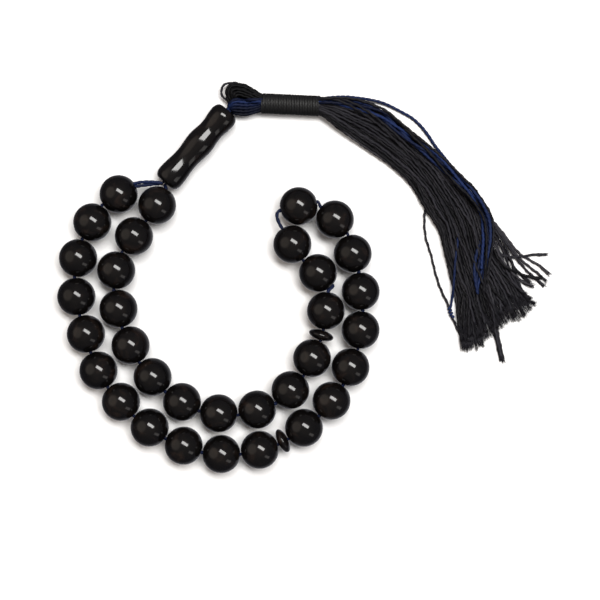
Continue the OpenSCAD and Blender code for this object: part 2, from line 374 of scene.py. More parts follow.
def threadMaterial(name):
    # spun fibres run round and along each strand; tone makes every strand a little different, and on the head's
    # folded yarns its low values are painted shade
    look = threadLooks[name]
    material, nodes, links, shader = newMaterial(name)
    lay = nodes.new("ShaderNodeMapping")
    lay.inputs["Scale"].default_value = (7.0, 0.9, 1.0)
    lay.inputs["Rotation"].default_value = (0, 0, 0.35)
    places = nodes.new("ShaderNodeTexCoord").outputs
    links.new(places["UV"], lay.inputs["Vector"])
    fibres = noise(nodes, links, lay.outputs["Vector"], 3.2, 5, 0.7).outputs["Fac"]
    patches = noise(nodes, links, places["Object"], 260, 3, 0.5).outputs["Fac"]
    tone = nodes.new("ShaderNodeAttribute")
    tone.attribute_name = "tone"
    # the fibre noise that raises the bump also darkens the colour where it is low: painted shade in the grooves
    # between the fibres; tone and the patches add to it
    shade = scaledSum(nodes, links, fibres, 0.55, tone.outputs["Fac"])
    shade = scaledSum(nodes, links, patches, look["patchy"], shade)
    tint = ramp(nodes, [(0.15, look["dark"]), (0.50, look["body"]), (0.95, look["light"])])
    links.new(spanned(nodes, links, shade, 0.2, 1.6).outputs["Result"], tint.inputs["Fac"])
    links.new(tint.outputs["Color"], shader.inputs["Base Color"])
    relief(nodes, links, fibres, shader, 0.8, look["relief"])
    shader.inputs["Roughness"].default_value = look["rough"]
    shader.inputs["Sheen Weight"].default_value = look["sheen"]
    shader.inputs["Sheen Roughness"].default_value = 0.45
    shader.inputs["Sheen Tint"].default_value = (*look["light"], 1)
    shader.inputs["Specular IOR Level"].default_value = look["shine"]
    return material


polishedStone = stoneMaterial()
navySpun, blackSpun, woundSpun = [threadMaterial(name) for name in threadLooks]
spunAs = {
    "cord": ("navy_cord", navySpun), "yarn": ("black_yarn", blackSpun), "thread": ("binding_thread", woundSpun),
}
print("materials ready")


def addStrands(name, strands, kind, body, nodes=(), blendTo=None):
    return finishPiece(spinMesh(name, strands, kind), body, *spunAs[kind], nodes, blendTo)



cameraSet = {
    "middle": (-0.92 * mm, -6.3 * mm),
    "height": 420 * mm,
    "seenAt": 5 * mm,      # the level of the beads' middles
    "seenWidth": 157.5 * mm,
    "sensor": 36,
}
cameraData = bpy.data.cameras.new("overheadCamera")
camera = addObject("overheadCamera", cameraData)
camera.location = (*cameraSet["middle"], cameraSet["height"])
cameraData.sensor_width = cameraSet["sensor"]
cameraData.lens = cameraSet["sensor"] * (cameraSet["height"] - cameraSet["seenAt"]) / cameraSet["seenWidth"]
cameraData.clip_start = 0.01
bpy.context.scene.camera = camera
print("camera ready")

# the string through the beads
stringSet = {
    "beadMouth": 4.9 * mm,     # from the middle to where the cord leaves the bore
    "discMouth": 1.4 * mm,
    "pull": 0.4,               # how far the cord runs straight on before it bends
    "arcFrom": 1.5 * mm,       # shorter gaps than this are crossed straight
    "pairOffset": 0.445 * mm,
    "pairClose": 0.34 * mm,    # where the two cords lie pressed together, outside the leader
    "linkMid": (-40.6, 24.4, 4.4),
}
threaded = [n for n in (j["child"] for j in frame["joints"]) if n.startswith(("bead_", "divider_"))]
centres, ways, mouths = [], [], []
for node in threaded:
    low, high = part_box(node)
    centres.append((low + high) / 2)
    ways.append(Vector(joints[node + "_spin"]["axis"]).normalized())
    mouths.append(stringSet["discMouth" if node.startswith("divider") else "beadMouth"])


def linkPoints(i):
    # the cord's arc from one bead to the next
    a = centres[i] + ways[i] * mouths[i]
    d = centres[i + 1] - ways[i + 1] * mouths[i + 1]
    gap = (d - a).length
    if gap < stringSet["arcFrom"]:
        return [(a + d) / 2]
    b = a + ways[i] * stringSet["pull"] * gap
    c = d - ways[i + 1] * stringSet["pull"] * gap
    return [a * (1 - t) ** 3 + b * 3 * t * (1 - t) ** 2 + c * 3 * t * t * (1 - t) + d * t ** 3
            for t in (k / 8 for k in range(9))]


pairOffset, pairClose = stringSet["pairOffset"], stringSet["pairClose"]
linkMid = Vector(stringSet["linkMid"]) * mm
firstSide = Vector((-ways[0].y, ways[0].x, 0))
firstMouth = centres[0] - ways[0] * mouths[0]
lastMouth = centres[-1] + ways[-1] * mouths[-1]
stringLine = [leaderPivot + leaderSide * pairClose,
              linkMid - Vector((0, pairClose, 0)),
              firstMouth + firstSide * pairClose]
for i in range(len(threaded)):
    stringLine.append(centres[i])
    if i < len(threaded) - 1:
        stringLine.extend(linkPoints(i))
stringLine += [lastMouth, leaderPivot - leaderSide * pairClose]
stringLine = [tuple(p) for p in stringLine]
tuckedLine = softCurve([
    tuple(leaderPivot + leaderSide * pairClose + Vector((0, 0, 2 * pairOffset))),
    tuple(linkMid + Vector((0, pairClose, 0.45 * mm))),
    tuple(firstMouth - firstSide * pairClose - ways[0] * 0.6 * mm + Vector((0, 0, 0.3 * mm))),
    tuple(firstMouth - firstSide * pairOffset + ways[0] * 1.4 * mm)], 8)

stringPiece = addStrands("stringCord", [{"line": stringLine, "width": cordSpun}], "cord", "string", ["string_cord"])
declareCord(stringLine)
tuckedOne = {"line": tuckedLine, "width": cordSpun, "tone": 0.65, "phase": 1.1}
addStrands("tuckedCordEnd", [tuckedOne], "cord", "string", ["tucked_end"])
leaderRuns = []
for sign in (-1, 1):
    a = leaderPivot + leaderSide * pairOffset * sign + leaderWay * 0.1 * mm
    b = tasselPivot + leaderSide * pairOffset * sign - leaderWay * 0.1 * mm
    b.z = a.z
    leaderRuns.append({"line": [tuple(a), tuple((a + b) / 2), tuple(b)], "width": cordWidth * 0.98,
                       "tone": 0.45, "phase": sign})
addStrands("leaderCordPair", leaderRuns, "cord", "leader_line", ["leader_cord"])
print("string laid, %.0f mm" % (lineLength(stringLine) / mm))

# the skirt's strands
skirtRows = [  # x, y from the skirt's pivot, height of the middle, half width, half height
    [-2.5, 0.12, 2.65, 1.95, 1.95], [1, -0.4, 2.65, 2.3, 2.35], [5.3, -1.9, 2.6, 4.0, 2.45],
    [9.8, -3.9, 2.5, 4.9, 2.4], [14.4, -6.2, 2.4, 5.6, 2.3], [21.4, -11.1, 2.2, 5.5, 2.1],
    [27.8, -16.7, 2.1, 5.7, 2], [32.6, -23.2, 2.1, 6.3, 2], [36.9, -30.3, 2, 6.3, 1.9],
    [39.2, -38, 1.9, 6.5, 1.8], [41.8, -44.6, 1.7, 7.6, 1.6], [44, -49.3, 1.5, 8.9, 1.4],
    [46.6, -56.2, 1.3, 10.7, 1.2], [49, -62.5, 1.2, 12, 1.1],
]
fringeMiddle = (46.6, -56.2)
fringeCut = [(-12, 3.3), (-7.6, 4.9), (-4, 3.6), (0.8, 1.8), (5.8, 1.6), (9.2, -0.2), (13, -1.5)]  # across, along
skirtSet = {
    "strands": 62,
    "stations": 64,
    "rings": (1, 6, 12, 18, 25),   # how the strands lie in the binding, ring by ring
    "ringStep": 1 / 4.35, "ringTurn": 0.37,
    "tightWidth": 0.48 * mm,       # a strand squeezed inside the binding
    "wander": 0.66 * mm,
    "waves": (2.1, 5.3, 9.1),      # how often a strand wanders to and fro on its way
    "fan": 1.22,                   # how far the outer side thins out at the fringe
    "spread": 0.22,                # how firmly the strands even out across the skirt
    "rounds": 14,                  # of pushing strands apart at each station
}


def rising(value, start, length):
    # 0 before start, 1 after the length, even in between
    return min(max((value - start) / length, 0), 1)


def skirtSections(count):
    path = softCurve([[r[0] * mm + skirtPivot.x, r[1] * mm + skirtPivot.y, r[2] * mm] for r in skirtRows], 10)
    sizes = softCurve([[r[3] * mm, r[4] * mm] for r in skirtRows], 10)
    run = runAlong(path)
    at = np.linspace(0, run[-1], count)
    middle, half = atRuns(path, run, at), atRuns(sizes, run, at)
    along = wayAlong(middle * [1, 1, 0])
    return middle, half, np.stack([-along[:, 1], along[:, 0], np.zeros(count)], 1), at / run[-1]


def packStrands(count):
    # strands start packed in the binding and spread with the skirt, never two in one place
    middle, half, out, share = skirtSections(skirtSet["stations"])
    spots = []
    for ringIndex, n in enumerate(skirtSet["rings"]):
        for k in range(n):
            a = 2 * math.pi * (k + skirtSet["ringTurn"] * ringIndex) / n
            r = ringIndex * skirtSet["ringStep"]
            spots.append((r * math.cos(a), r * math.sin(a)))
    spots = np.array(spots[:count])
    side, lift = spots[:, 0] * half[0, 0], spots[:, 1] * half[0, 1]
    phase = dice.uniform(0, 2 * math.pi, (count, 3))
    lines = np.zeros((count, len(middle), 3))
    tight, wide = skirtSet["tightWidth"], yarnWidth * 0.97
    shareOld = 0
    for s, t in enumerate(share):
        width = tight + (wide - tight) * min(1, t / 0.14)
        if s:
            side *= half[s, 0] / half[s - 1, 0]
            lift *= half[s, 1] / half[s - 1, 1]
            rank = (np.argsort(np.argsort(side)) + 0.5) / count
            fan = 1 + (skirtSet["fan"] - 1) * rising(t, 0.5, 0.4)
            target = (2 * rank ** fan - 1) * half[s, 0] * 0.98
            side += (target - side) * skirtSet["spread"] * rising(t, 0.08, 0.4)
            grow = skirtSet["wander"] * (0.25 + 1.1 * t)
            for k, wave in enumerate(skirtSet["waves"]):
                side += grow * (np.sin(2 * math.pi * wave * t + phase[:, k])
                                - np.sin(2 * math.pi * wave * shareOld + phase[:, k])) / (k + 1)
        shareOld = t
        flat = rising(t, 0.08, 0.25)   # round in the binding, flat underneath on the ground
        power = 2 + 2 * flat
        a, b = half[s, 0] - width / 2, max(half[s, 1] - width / 2, 0.2 * mm)
        for _ in range(skirtSet["rounds"]):
            dx = side[:, None] - side[None, :]
            dz = lift[:, None] - lift[None, :]
            gap = np.hypot(dx, dz) + np.eye(count)
            push = np.where(gap < width, (width - gap) / gap * 0.5, 0) * (1 - np.eye(count))
            side = side + (dx * push).sum(1) * 0.6
            lift = lift + (dz * push).sum(1) * 0.6
            if t > 0.12:
                lift -= 0.02 * mm
            pressed = np.where(lift < 0, lift * (1 - flat), lift)
            over = ((np.abs(side) / a) ** power + (np.abs(pressed) / b) ** power) ** (1 / power)
            shrink = np.where(over > 1, 1 / over, 1)
            side = side * shrink
            lift = np.where((lift > 0) | (flat < 1), lift * shrink, lift)
            lift = np.maximum(lift, yarnWidth / 2 + 0.09 * mm - middle[s, 2])
        lines[:, s, :] = middle[s] + side[:, None] * out[s]
        lines[:, s, 2] += lift
    for line in lines:
        for k in range(3):
            line[:, k] = smoothed(line[:, k], 2)
    return lines


fringeWay = np.array([0.354, -0.935, 0])
fringeSide = np.array([0.935, 0.354, 0])
fringeAt = np.array([skirtPivot.x + fringeMiddle[0] * mm, skirtPivot.y + fringeMiddle[1] * mm, 0])


def cutAtFringe(line):
    # the fringe is cut on a slant, a little unevenly
    off = line - fringeAt
    along, across = off @ fringeWay, off @ fringeSide
    limit = np.interp(across / mm, [c[0] for c in fringeCut], [c[1] for c in fringeCut]) * mm
    beyond = np.nonzero(along > limit + dice.normal(0, 0.75 * mm))[0]
    return line[:beyond[0]] if len(beyond) else line


flossSet = {"length": (4, 12), "fibres": 14, "width": 0.17 * mm, "spread": 1.0, "step": 0.5}
blackStrands, flossLines = [], []
for packed in packStrands(skirtSet["strands"]):
    line = evenSteps(cutAtFringe(softCurve(packed, 6)), flossSet["step"] * mm)
    loose = int(dice.uniform(*flossSet["length"]) / flossSet["step"])
    width = yarnWidth * dice.uniform(0.80, 1.12)
    flossLines.append((line[-loose:], width, flossSet["spread"]))
    blackStrands.append({
        "line": line[:len(line) - int(loose * 0.55)], "width": width,
        "tone": float(dice.choice([dice.uniform(0.0, 0.40), dice.uniform(0.40, 0.70)], p=[0.75, 0.25])),
        "phase": float(dice.uniform(0, 6.28)), "endTaper": 0.45, "uneven": 0.09})
for k in range(4):
    addStrands("skirtYarns%d" % (k + 1), blackStrands[k::4], "yarn", "tassel", [] if k else ["skirt"], "skirt")
below = np.concatenate([s["line"] for s in blackStrands])   # what loose strands come to lie on
laid = below   # the skirt alone
print("skirt packed,", len(blackStrands), "strands, longest %.0f mm"
      % (max(lineLength(s["line"]) for s in blackStrands) / mm))


def placed(pivot, rows):
    # rows of x, y and perhaps a height, in millimetres from the pivot
    return [(pivot.x + r[0] * mm, pivot.y + r[1] * mm, (r[2] if len(r) > 2 else 0) * mm) for r in rows]


def layDown(line):
    # the strands that follow lie on this one too
    global below
    below = np.concatenate([below, evenSteps(line, laidStep)])


# loose strands at the skirt's sides, x, y and height from the skirt's pivot
looseRows = [
    [22.6, -15.8, 1.6], [25.4, -19.4, 1.6], [27.6, -22.4, 1.5], [28.3, -25, 1.1], [27.8, -27.4, 0.6],
    [27.6, -30.6, 0.43], [28, -34.8, 0.43], [29.3, -39, 0.43], [30.6, -44.3, 0.43], [32, -48.5, 0.43],
    [33.9, -52.5, 0.6], [34.6, -54.9, 0.8], [35.6, -57.2, 0.6], [37, -60.4, 0.43], [37.9, -62.6, 0.43],
]
tailRows = [
    [36.4, -33.6, 1.2], [36.3, -35.6, 1.2], [36.0, -38, 1.2], [35.6, -41, 1.2], [35.3, -45.5, 1.0],
    [35.0, -50, 0.8], [34.5, -53.4, 0.8],
]
shortNavyRows = [[42.6, -35.0], [41.5, -38.2], [40.8, -41.4], [40.7, -44.4], [41.1, -47.2], [41.6, -49.6]]
outerRows = [
    [[30.6, -17.4], [35, -19.4], [38.6, -22.2], [41.3, -24.4], [42.9, -27], [45, -29.4], [47.1, -31.8],
     [49.2, -34.4], [51, -36.8], [52.6, -38.6], [54.2, -39.9], [55.8, -40.7], [57.6, -41.7], [59.2, -43.1],
     [60.5, -44.4]],
    [[31, -18.8], [35.4, -20.6], [39, -23.4], [41.8, -25.9], [43.9, -28.8], [46.2, -31.7], [48.3, -34.8],
     [50.1, -37.4], [51.7, -39.7], [53.3, -41.7], [54.7, -43.3], [56.3, -44.8], [57.9, -46.2], [59.4, -47.5]],
    [[34, -20.8], [38.6, -24.8], [42.4, -28.6], [45.1, -31.9], [47.5, -35.7], [49.1, -38.1], [50.5, -40.2],
     [52.1, -42.3], [53.9, -43.8], [55.2, -45.4]],
    [[40, -26.4], [44.4, -30.6], [47, -34], [48.6, -36.2], [49.7, -38.8], [50.8, -41.4], [51.4, -43.6], [52.2, -46],
     [53.5, -48.7], [55.2, -51.2], [57, -52.1]],
    [[41, -28.6], [44, -32], [46.6, -36.4], [48.4, -40.6], [49.6, -44.2], [51.6, -47.4], [54.3, -49.6]],
    [[42, -31], [44.6, -35], [46.6, -39.6], [48.8, -42.4], [51.4, -43.7], [54, -44.6], [57, -45.4], [58.6, -45.3]],
]
longRows = [
    [[42.6, -43.6], [44, -49], [45.3, -54.5], [46, -59], [47, -63.5], [47.8, -67.2]],
    [[43.6, -43.4], [44.9, -48.8], [46.2, -54.3], [46.9, -58.9], [47.8, -63.2], [48.7, -67.4]],
    [[43.2, -46], [44.6, -50.6], [45.8, -55.6], [46.5, -60], [47.4, -64], [48.1, -66.3]],
]
# each yarn follows one of outerRows, or lies this share of the way from it to the next
outerMix = ((0, 0), (0, 0.55), (1, 0), (2, 0.2), (3, 0), (3, 0.5), (4, 0), (4, 0.5), (5, 0))
crossRows = [  # two yarns that leave the binding above the navy strands and cross over them
    [[-1, 2.0, 4.2], [3, 1.5], [7, 0.1], [11, -2.1], [15, -4.8], [19, -8.4], [24, -13.6], [28.5, -19.6],
     [32.5, -26.4], [35, -33.5], [36.8, -41], [39, -48], [41.5, -55.5], [43, -60.5]],
    [[-1, 1.4, 4.3], [5, 1.5], [9, 0.2], [13.5, -2.4], [18, -5.9], [23, -10.6], [28.5, -16.4], [33.5, -23.4],
     [37, -31], [39.6, -38.6], [42.6, -46], [45.6, -53], [47.4, -57.6]],
]
sideRows = [[46.4, -38.4], [48.4, -39.3], [50.8, -39.8], [53.6, -39.6], [56.6, -39.2], [59.9, -39.2]]
looseStep = 0.4 * mm
tailWidth = cordWidth * 0.85


def looseStrand(rows, tone, width=yarnWidth, settle=True):
    line = evenSteps(softCurve(placed(skirtPivot, rows), 10), looseStep)
    if settle:
        line = restOn(line, width, below, 0.1 * mm)
        # the start comes out from among the strands
        depth = 1.3 * mm * np.clip(1 - np.arange(len(line)) * looseStep / (8 * mm), 0, 1)
        line[:, 2] -= np.minimum(depth, line[:, 2] - width * 0.6)
    return {"line": line, "width": width, "tone": tone, "phase": float(dice.uniform(0, 6)), "endTaper": 0.92}


looseOne = looseStrand(looseRows, 0.35, settle=False)
loosePiece = addStrands("looseYarn", [looseOne], "yarn", "skirt", ["loose_strand"])
declareCord(looseOne["line"])
tailOne = looseStrand(tailRows, 0.6, tailWidth, settle=False)
tailLine = tailOne["line"]
tailRun = np.arange(len(tailLine)) * looseStep
tailRest = restOn(tailLine, tailWidth, laid, 0.25 * mm)[:, 2]
tailRest -= 1.1 * mm * np.clip(1 - tailRun / (4 * mm), 0, 1)
tailFade = np.clip((tailRun[-1] - tailRun) / (4 * mm), 0, 1)   # at the knot it lies as the knot does
tailLine[:, 2] = tailRest * tailFade + tailLine[:, 2] * (1 - tailFade)
addStrands("knotTail", [tailOne], "cord", "skirt", ["knot_tail"])
addStrands("shortNavyEnd", [looseStrand(shortNavyRows, 0.55, cordWidth * 1.1)], "cord", "skirt")
outerOnes = []
for k, weight in outerMix:
    # between two neighbouring rows, or just one of them
    lines = [evenSteps(softCurve([[*r, 0] for r in outerRows[n]], 10), 0.1)[:, :2]
             for n in (k, k + 1 if weight else k)]
    first, second = [line[np.linspace(0, len(line) - 1, 40).astype(int)] for line in lines]
    rows = first * (1 - weight) + second * weight
    outerOnes.append(looseStrand(rows[::3].tolist() + [rows[-1].tolist()], float(dice.uniform(0.0, 0.7))))
    layDown(outerOnes[-1]["line"])
addStrands("outerYarns", outerOnes, "yarn", "skirt", ["outer_strand"])

# navy strands on the skirt
navyBand = [  # x, y from the skirt's pivot
    [-2.2, 0.9], [1.5, 1.0], [6, 0.7], [11, -0.4], [14.5, -1.6], [16.9, -2.8], [20.3, -5.6], [24, -8.7],
    [27.4, -11.3], [30.8, -14.3], [34, -17.6], [37.1, -20.8], [39.7, -23.3], [42, -26.4], [43.6, -29.6],
    [43.9, -34.4], [43.5, -38], [42.9, -41.5], [42.2, -46], [41.9, -49],
]
navySet = {
    "spread": 1.0 * mm, "crossings": 1.6, "ends": (1.0, 0.97, 0.93, 0.96), "tones": (0.70, 0.45, 0.95, 0.25),
    "slack": 0.12 * mm,         # how far a strand sinks in between those under it
    "startHeight": 4.1 * mm,    # among the yarns, inside the binding
    "startReach": 3.2 * mm,
}
bandStep = 0.6 * mm
bandLine = evenSteps(softCurve(placed(skirtPivot, navyBand), 10), bandStep)
bandWay = wayAlong(bandLine)
bandSide = np.stack([-bandWay[:, 1], bandWay[:, 0], np.zeros(len(bandLine))], 1)
bandShare = np.linspace(0, 1, len(bandLine))


def besideBand(shift, width, reach):
    # a strand that follows the navy band, shifted to one side of it, as far as it reaches
    line = restOn(bandLine + bandSide * shift[:, None], width, below, navySet["slack"])
    line = startAt(line[:int(len(line) * reach)], bandStep, navySet["startReach"], navySet["startHeight"])
    layDown(line)
    return line


for k, tone in enumerate(navySet["tones"]):
    turns = navySet["crossings"] * bandShare + k / len(navySet["tones"])
    shift = navySet["spread"] * np.sin(2 * math.pi * turns) * np.clip(bandShare / 0.12, 0.5, 1)
    line = besideBand(shift, cordWidth, navySet["ends"][k])
    one = {"line": line, "width": cordWidth, "tone": tone, "phase": k * 1.9, "endTaper": 0.9}
    piece = addStrands("navyStrand%d" % (k + 1), [one], "cord", "tassel", blendTo="skirt")
    declareCord(line)
print("navy strands laid on the skirt")

# the cord that stands off the skirt in an arch, and joins the others again
archRows = [
    [-2.2, 1.5, 4.1], [0.4, 1.7, 4.3], [2.5, 2.1, 3.8], [6, 2.4, 2.9], [9, 2.3, 2.2], [14, 1.7, 1.2],
    [17.5, 0.7, 0.8], [21.3, -1.2, 0.6], [24.3, -2.9, 0.5], [26.6, -5, 0.5], [28.6, -7.5, 0.6], [30.1, -9.8, 0.8],
    [32, -12.4, 1.2], [34.4, -15.8, 0], [37.5, -19.3, 0], [40.4, -22.7, 0], [42.9, -26.5, 0],
    [44.5, -30.4, 0], [44.8, -34.6, 0], [44.2, -38.6, 0], [43.3, -43, 0], [42.9, -46.5, 0],
]
archStep = 0.5 * mm
archLine = evenSteps(softCurve(placed(skirtPivot, archRows), 10), archStep)
rested = restOn(archLine, cordWidth, below, navySet["slack"])
# the arch lies on the ground, then climbs on the skirt
fade = np.clip((np.arange(len(archLine)) * archStep - 34 * mm) / (4 * mm), 0, 1)
free = np.maximum(archLine[:, 2] * (1 - fade), cordWidth / 2 + ground)
archLine[:, 2] = smoothed(free * (1 - fade) + rested[:, 2] * fade, 4)
archOne = {"line": archLine, "width": cordWidth, "tone": 0.7}
archPiece = addStrands("archedCord", [archOne], "cord", "tassel", ["loose_cord"], "skirt")
declareCord(archLine)
layDown(archLine)

# more loose yarns, over the navy strands
longOnes = []
for rows in longRows:
    longOnes.append(looseStrand(rows, float(dice.uniform(0.3, 0.7))))
    layDown(longOnes[-1]["line"])
addStrands("longYarns", longOnes, "yarn", "skirt", ["long_strand"])
crossOnes = []
for rows in crossRows:
    line = evenSteps(softCurve(placed(skirtPivot, [r[:2] for r in rows]), 10), looseStep)
    line = startAt(restOn(line, yarnWidth, below, navySet["slack"]), looseStep, 3 * mm, rows[0][2] * mm)
    crossOnes.append({"line": line, "width": yarnWidth, "tone": 0.2, "phase": rows[1][0], "endTaper": 0.5})
besideSet = (  # one crosses the navy band now and then, the other keeps to its outer side
    {"lean": 0.3, "swing": 1.3, "phase": 0.3, "reach": 1.0, "tone": 0.1},
    {"lean": 1.55, "swing": 0.25, "phase": 2.4, "reach": 0.94, "tone": 0.2},
)
for one in besideSet:
    shift = one["lean"] + one["swing"] * np.sin(2 * math.pi * 1.1 * bandShare + one["phase"])
    line = besideBand(shift * np.clip(bandShare / 0.15, 0.3, 1) * mm, yarnWidth, one["reach"])
    crossOnes.append({"line": line, "width": yarnWidth, "tone": one["tone"], "phase": one["phase"],
                      "endTaper": 0.5})
addStrands("crossingYarns", crossOnes, "yarn", "tassel", blendTo="skirt")
sideOne = looseStrand(sideRows, 0.4, yarnWidth * 1.1)
addStrands("sideYarn", [sideOne], "yarn", "skirt", ["side_strand"])

# the knot: the navy tail is wound round the loose yarn and pulled tight
knotSet = {
    "from": (34.0, -52.9, 0.75), "to": (35.0, -56.0, 0.8), "turns": 3.25, "points": 60,
    "radius": 0.36 * mm, "cord": 0.58 * mm,
}
knotFrom, knotTo = (Vector(p) for p in placed(skirtPivot, [knotSet["from"], knotSet["to"]]))
knotWay = (knotTo - knotFrom).normalized()
knotSide = Vector((-knotWay.y, knotWay.x, 0)).normalized()
knotUp = knotWay.cross(knotSide)
knotLine = []
for i in range(knotSet["points"]):
    t = i / (knotSet["points"] - 1)
    a = 2 * math.pi * knotSet["turns"] * t
    swell = knotSet["radius"] * (0.75 + 0.35 * math.sin(math.pi * t))
    p = knotFrom + (knotTo - knotFrom) * (0.08 + 0.84 * t)
    p = p + knotSide * math.cos(a) * swell + knotUp * math.sin(a) * swell
    p.z = max(p.z, knotSet["cord"] / 2 + ground)
    knotLine.append(tuple(p))
knotLine.append(tuple(knotTo + knotSide * 0.6 * mm - knotWay * 0.2 * mm))
knotOne = {"line": softCurve(knotLine, 2), "width": knotSet["cord"], "tone": 0.95}
addStrands("cordKnot", [knotOne], "cord", "skirt", ["cord_knot"])
print("loose strands and knot laid")

# cut ends fray into single fibres, and a few stray fibres lie on the skirt
straySet = {"count": 420, "width": 0.085 * mm, "step": 0.7 * mm, "tone": 0.95}


def addFibres(name, hairs, tone):
    # thin three-sided fibres that narrow to their tips
    verts, faces, uvs = [], [], []
    for points, width in hairs:
        base = len(verts)
        for i, p in enumerate(points):
            r = width / 2 * (1 - 0.6 * i / (len(points) - 1))
            for k in range(3):
                a = 2 * math.pi * k / 3 + 0.4 * i
                verts.append((p[0] + r * math.cos(a), p[1] + r * math.sin(a),
                              max(p[2] + r * math.sin(a * 2 + 1), 0.01 * mm)))
        for i in range(len(points) - 1):
            low = base + 3 * i
            for k in range(3):
                n = (k + 1) % 3
                faces.append((low + k, low + n, low + 3 + n, low + 3 + k))
                uvs.extend(((0.1 * k, i), (0.1 * n, i), (0.1 * n, i + 1), (0.1 * k, i + 1)))
        end = len(verts)
        faces += [(base + 2, base + 1, base), (end - 3, end - 2, end - 1)]
        uvs.extend(((0, 0), (0.1, 0), (0.2, 0)) * 2)
    piece = closedPiece(name, verts, faces, uvs, np.full(len(verts), tone))
    return finishPiece(piece, "skirt", "black_yarn", blackSpun)


def openToFloss(line, width, spread):
    # the spun strand opens into straight, nearly parallel fibres before its cut end
    way = wayAlong(line)
    across = np.cross(way, [0, 0, 1.0])
    fibres = []
    for _ in range(flossSet["fibres"]):
        a, far = dice.uniform(0, 2 * math.pi), math.sqrt(dice.uniform(0.03, 1)) * width * 0.42
        start = int(dice.integers(0, max(len(line) // 3, 1)))
        points = []
        for k in np.unique(np.linspace(start, len(line) - 1, 8).astype(int)):
            opened = far * (1 + spread * (k / (len(line) - 1)) ** 2)
            p = line[k] + across[k] * math.cos(a) * opened + np.array([0, 0, math.sin(a) * opened * 0.6])
            p[2] = max(p[2], 0.09 * mm)
            points.append(p)
        tip = way[-1] + across[-1] * math.cos(a) * 0.12 * spread
        points.append(points[-1] + tip * dice.uniform(0.05, 0.75) * mm)
        fibres.append((points, flossSet["width"]))
    return fibres


frayed = []
for line, width, spread in flossLines:
    frayed += openToFloss(line, width, spread)
looseTips = (  # which strands, how long the open tip is in millimetres, and how wide it opens
    (outerOnes, 6.5, 1.3), (longOnes, 14, 0.9), (crossOnes, 9, 1.0), ([sideOne], 7, 0.5), ([looseOne], 2.5, 0.5))
for ones, tip, spread in looseTips:
    for one in ones:
        line = evenSteps(one["line"], looseStep)
        frayed += openToFloss(line[-int(tip * dice.uniform(0.75, 1.15) / 0.4):], one["width"], spread)
addFibres("frayedEnds", frayed, 0.35)
strays = []
for _ in range(straySet["count"]):
    line = evenSteps(blackStrands[int(dice.integers(len(blackStrands)))]["line"], straySet["step"])
    count = int(dice.uniform(5, 18))
    at = int(dice.integers(8, max(len(line) - count - 1, 9)))
    part = line[at:at + count]
    across = np.cross(wayAlong(part), [0, 0, 1.0])
    lean, wave = dice.normal(0, 0.5), dice.uniform(0, 6.28)
    points = [p + across[k] * mm * (lean * k / count + 0.10 * math.sin(wave + k * 0.7))
              + np.array([0, 0, yarnWidth * (0.47 + 0.05 * math.sin(wave * 2 + k))]) for k, p in enumerate(part)]
    strays.append((points, straySet["width"]))
addFibres("strayFibres", strays, straySet["tone"])
print("fringe frayed,", len(frayed), "fibres")

# the head: yarns folded over, with the navy cord laid across them
headLoop = [  # x, y from the tassel's pivot, going round the fold
    [9.6, 3.5], [8.5, 3.9], [6.9, 4.85], [5.3, 5.9], [3.6, 6.65], [1.7, 6.95], [0.3, 6.7], [-0.6, 5.9],
    [-0.85, 4.8], [-0.7, 3.6], [-0.3, 2.3], [0.4, 0.9], [1.6, -0.4], [3.2, -1.2], [4.8, -1.15], [6.6, -0.7],
    [8.5, -0.1], [9.6, 0.0],
]
headCore = [  # where the folds shrink to at the head's top and bottom
    [9.6, 1.7], [8.5, 1.8], [6.9, 2.1], [5.3, 2.5], [4.1, 2.9], [3.2, 3.2], [2.6, 3.3], [2.3, 3.3],
    [2.2, 3.2], [2.2, 3.0], [2.3, 2.9], [2.5, 2.6], [2.9, 2.3], [3.6, 2.0], [5.0, 1.8], [6.6, 1.7],
    [8.5, 1.7], [9.6, 1.7],
]
headSet = {
    "layers": (0.50, 1.16, 1.82, 2.48, 3.14, 3.78, 4.36),
    "middle": 2.45, "halfHeight": 2.25, "nest": 0.205, "under": 0.62,
}
headStrands = []
for level in headSet["layers"]:
    inward = 1 - math.sqrt(max(1 - ((level - headSet["middle"]) / headSet["halfHeight"]) ** 2, 0.05))
    while inward < 0.95:
        rows = []
        for i, (o, c) in enumerate(zip(headLoop, headCore)):
            x, y = o[0] + (c[0] - o[0]) * inward, o[1] + (c[1] - o[1]) * inward
            turned = rising(i, 8, 5)     # past the fold the yarns lie lower, under the navy cord
            z = level * (1 - turned) + (0.45 + (level - 0.5) * headSet["under"]) * turned
            if i in (0, 1, 16, 17):      # both ends are squeezed together in the binding
                z = 2.65 + (z - headSet["middle"]) * 0.72
            rows.append([x + dice.normal(0, 0.05), y + dice.normal(0, 0.05), z])
        # tones below the skirt's darken the same yarns on the head: painted shade
        headStrands.append({"line": softCurve(placed(tasselPivot, rows), 6), "width": yarnWidth,
                            "tone": float(dice.uniform(-0.5, -0.1)), "phase": float(dice.uniform(0, 6))})
        inward += headSet["nest"]
addStrands("foldedYarns", headStrands, "yarn", "tassel", ["head_loop"])
below = np.concatenate([evenSteps(s["line"], laidStep) for s in headStrands])
eyeRows = [
    [4.4, 6.0, 2.9], [3.2, 6.5, 2.9], [1.9, 7.0, 2.7], [0.6, 7.1, 2.6], [-0.8, 6.95, 2.4], [-1.85, 6.15, 2.2],
    [-2.2, 4.75, 2.1], [-1.65, 3.4, 2.0], [-0.5, 2.4, 2.0], [0.6, 1.5, 2.2],
]
eyeOne = {"line": softCurve(placed(tasselPivot, eyeRows), 8), "width": yarnWidth * 0.95, "tone": 0.3}
addStrands("eyeYarn", [eyeOne], "yarn", "tassel", ["eye_strand"])
